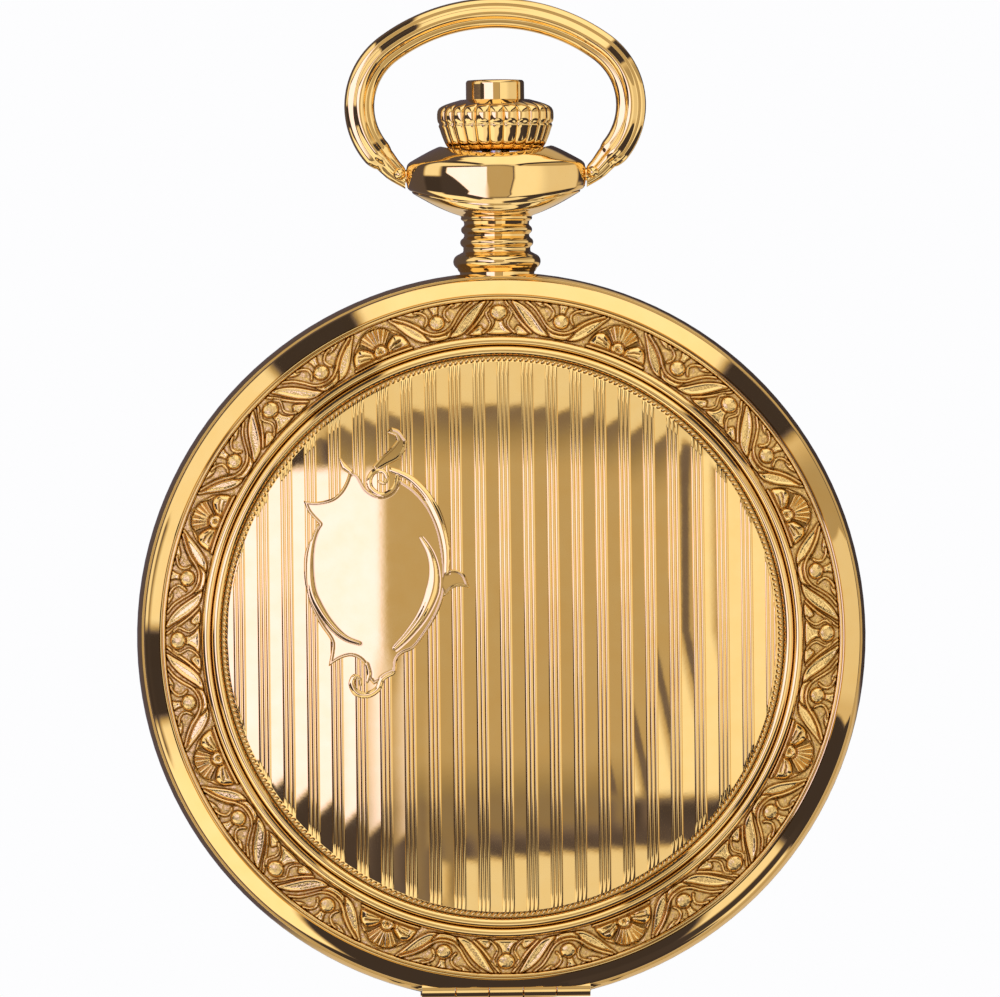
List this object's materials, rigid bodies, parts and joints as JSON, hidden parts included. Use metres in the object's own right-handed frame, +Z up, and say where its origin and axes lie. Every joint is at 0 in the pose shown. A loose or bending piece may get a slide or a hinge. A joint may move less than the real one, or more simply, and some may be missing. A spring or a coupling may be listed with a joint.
{
  "type": "full hunter pocket watch",
  "caption": "Full hunter pocket watch with engraved reeded covers, turned pendant, fluted crown with push button, oval bow and a hand-wound movement inside.",
  "frame": {"origin": "middle of the inside top of the bow, where a chain's ring hangs", "axes": "+Z up towards the bow, +X to the viewer's right, front cover faces -Y"},
  "size_m": [0.05, 0.0137, 0.0689],
  "materials": {
    "gold_plate": "polished gold plate",
    "steel": "polished steel",
    "wheel_brass": "gilt brass",
    "nickel_plate": "nickel plated brass with fine stripes",
    "blued_steel": "heat blued steel",
    "ruby": "polished synthetic ruby",
    "glass": "clear watch glass",
    "dial_enamel": "white enamel"
  },
  "bodies": {
    "case": {"case_middle": "gold_plate", "pendant": "gold_plate", "pendant_sleeve": "steel", "bow_screws": "gold_plate", "front_hinge_pin": "steel", "back_hinge_pin": "steel", "lift_spring": "steel", "front_bezel": "gold_plate", "back_bezel": "gold_plate", "crystal": "glass", "back_glass": "glass", "movement_ring": "wheel_brass", "dial": "dial_enamel", "main_plate": "nickel_plate", "barrel_bridge": "nickel_plate", "train_bridge": "nickel_plate", "pallet_bridge": "nickel_plate", "balance_cock": "nickel_plate", "jewels": "ruby", "centre_bush": "ruby", "bridge_screws": "steel", "case_screws": "steel", "click_screw": "steel", "hairspring": "blued_steel"},
    "front_cover": {"front_cover": "gold_plate"},
    "back_cover": {"back_cover": "gold_plate"},
    "bow": {"bow": "gold_plate"},
    "winding_pinion": {"winding_pinion": "steel"},
    "crown": {"crown": "gold_plate", "winding_stem": "steel"},
    "button": {"push_piece": "gold_plate", "push_rod": "steel", "push_collar": "steel", "push_spring": "steel"},
    "sliding_pinion": {"sliding_pinion": "steel"},
    "catch": {"lock_spring": "steel"},
    "setting_lever": {"setting_lever": "steel"},
    "yoke": {"yoke": "steel"},
    "crown_wheel": {"crown_wheel": "steel"},
    "ratchet": {"ratchet_wheel": "steel", "ratchet_screw": "steel", "barrel_arbor": "steel"},
    "click": {"click": "steel"},
    "fourth": {"fourth_wheel": "wheel_brass", "seconds_hand": "blued_steel"},
    "centre": {"centre_wheel": "wheel_brass", "cannon_pinion": "steel", "minute_hand": "blued_steel"},
    "third": {"third_wheel": "wheel_brass"},
    "escape": {"escape_wheel": "steel"},
    "barrel": {"barrel": "wheel_brass", "mainspring": "steel"},
    "minute_wheel": {"minute_wheel": "wheel_brass"},
    "setting_wheel": {"setting_wheel": "wheel_brass"},
    "hour": {"hour_wheel": "wheel_brass", "hour_hand": "blued_steel"},
    "pallet": {"pallet_fork": "steel"},
    "balance": {"balance_wheel": "wheel_brass"}
  },
  "joints": [
    {"name": "front_cover_hinge", "type": "hinge", "parent": "case", "child": "front_cover", "pos_m": [0, -0.0026, -0.06587], "axis": [1, 0, 0], "range_deg": [0, 95]},
    {"name": "back_cover_hinge", "type": "hinge", "parent": "case", "child": "back_cover", "pos_m": [0, 0.0026, -0.06587], "axis": [-1, 0, 0], "range_deg": [0, 95]},
    {"name": "bow_turn", "type": "hinge", "parent": "case", "child": "bow", "pos_m": [0, 0, -0.0101], "axis": [1, 0, 0], "range_deg": [-90, 90]},
    {"name": "crown_turn", "type": "hinge", "parent": "case", "child": "winding_pinion", "pos_m": [0, 0, -0.02617], "axis": [0, 0, 1], "continuous": true},
    {"name": "crown_pull", "type": "slide", "parent": "winding_pinion", "child": "crown", "axis": [0, 0, 1], "range_m": [0, 0.001]},
    {"name": "button_push", "type": "slide", "parent": "crown", "child": "button", "axis": [0, 0, -1], "range_m": [0, 0.0006], "stiffness_N_per_m": 1500, "springref_m": -0.0006, "deforming": ["push_spring"]},
    {"name": "clutch_shift", "type": "slide", "parent": "winding_pinion", "child": "sliding_pinion", "axis": [0, 0, -1], "range_m": [0, 0.001]},
    {"name": "catch_press", "type": "slide", "parent": "case", "child": "catch", "axis": [0, 0, -1], "range_m": [0, 0.0004]},
    {"name": "lever_swing", "type": "hinge", "parent": "case", "child": "setting_lever", "pos_m": [0.0052, -0.0014, -0.02737], "axis": [0, 1, 0], "range_deg": [0, 8]},
    {"name": "yoke_swing", "type": "hinge", "parent": "case", "child": "yoke", "pos_m": [-0.0062, -0.0014, -0.02752], "axis": [0, 1, 0], "range_deg": [0, 10]},
    {"name": "crown_wheel_turn", "type": "hinge", "parent": "case", "child": "crown_wheel", "pos_m": [0, 0.002, -0.03057], "axis": [0, 1, 0], "continuous": true},
    {"name": "ratchet_turn", "type": "hinge", "parent": "case", "child": "ratchet", "pos_m": [0.00779, 0.002, -0.03727], "axis": [0, 1, 0], "continuous": true},
    {"name": "click_swing", "type": "hinge", "parent": "case", "child": "click", "pos_m": [0.01092, 0.0026, -0.02954], "axis": [0, 1, 0], "range_deg": [-8, 0], "stiffness_Nm_per_rad": 0.00002, "springref_deg": 5.73},
    {"name": "seconds_turn", "type": "hinge", "parent": "case", "child": "fourth", "pos_m": [0, 0, -0.04917], "axis": [0, 1, 0], "continuous": true},
    {"name": "centre_turn", "type": "hinge", "parent": "case", "child": "centre", "pos_m": [0, 0, -0.04177], "axis": [0, 1, 0], "continuous": true},
    {"name": "third_turn", "type": "hinge", "parent": "case", "child": "third", "pos_m": [0.00443, 0.0008, -0.04624], "axis": [0, 1, 0], "continuous": true},
    {"name": "escape_turn", "type": "hinge", "parent": "case", "child": "escape", "pos_m": [-0.00421, 0.0007, -0.05046], "axis": [0, 1, 0], "continuous": true},
    {"name": "barrel_turn", "type": "hinge", "parent": "case", "child": "barrel", "pos_m": [0.00779, 0, -0.03727], "axis": [0, 1, 0], "continuous": true},
    {"name": "minute_wheel_turn", "type": "hinge", "parent": "case", "child": "minute_wheel", "pos_m": [-0.00312, -0.0013, -0.03997], "axis": [0, 1, 0], "continuous": true},
    {"name": "setting_wheel_turn", "type": "hinge", "parent": "case", "child": "setting_wheel", "pos_m": [-0.00066, -0.0013, -0.03417], "axis": [0, 1, 0], "continuous": true},
    {"name": "hour_turn", "type": "hinge", "parent": "case", "child": "hour", "pos_m": [0, -0.0016, -0.04177], "axis": [0, 1, 0], "continuous": true},
    {"name": "pallet_swing", "type": "hinge", "parent": "case", "child": "pallet", "pos_m": [-0.00683, 0.0007, -0.049], "axis": [0, 1, 0], "range_deg": [-5, 5]},
    {"name": "balance_swing", "type": "hinge", "parent": "case", "child": "balance", "pos_m": [-0.01019, 0.0019, -0.04714], "axis": [0, 1, 0], "range_deg": [-135, 135], "stiffness_Nm_per_rad": 0.0000003}
  ],
  "couplings": [
    {"joint": "clutch_shift", "follows": "crown_pull", "ratio": 1},
    {"joint": "lever_swing", "follows": "crown_pull", "rad_per_m": 120},
    {"joint": "yoke_swing", "follows": "crown_pull", "rad_per_m": 163},
    {"joint": "catch_press", "follows": "button_push", "ratio": 0.5},
    {"joint": "crown_wheel_turn", "follows": "crown_turn", "ratio": 0.41026},
    {"joint": "ratchet_turn", "follows": "crown_turn", "ratio": -0.25},
    {"joint": "third_turn", "follows": "seconds_turn", "ratio": -0.13333},
    {"joint": "centre_turn", "follows": "seconds_turn", "ratio": 0.016667},
    {"joint": "escape_turn", "follows": "seconds_turn", "ratio": -10},
    {"joint": "barrel_turn", "follows": "seconds_turn", "ratio": -0.0025641},
    {"joint": "minute_wheel_turn", "follows": "seconds_turn", "ratio": -0.0055556},
    {"joint": "setting_wheel_turn", "follows": "seconds_turn", "ratio": 0.0041667},
    {"joint": "hour_turn", "follows": "seconds_turn", "ratio": 0.0013889}
  ]
}
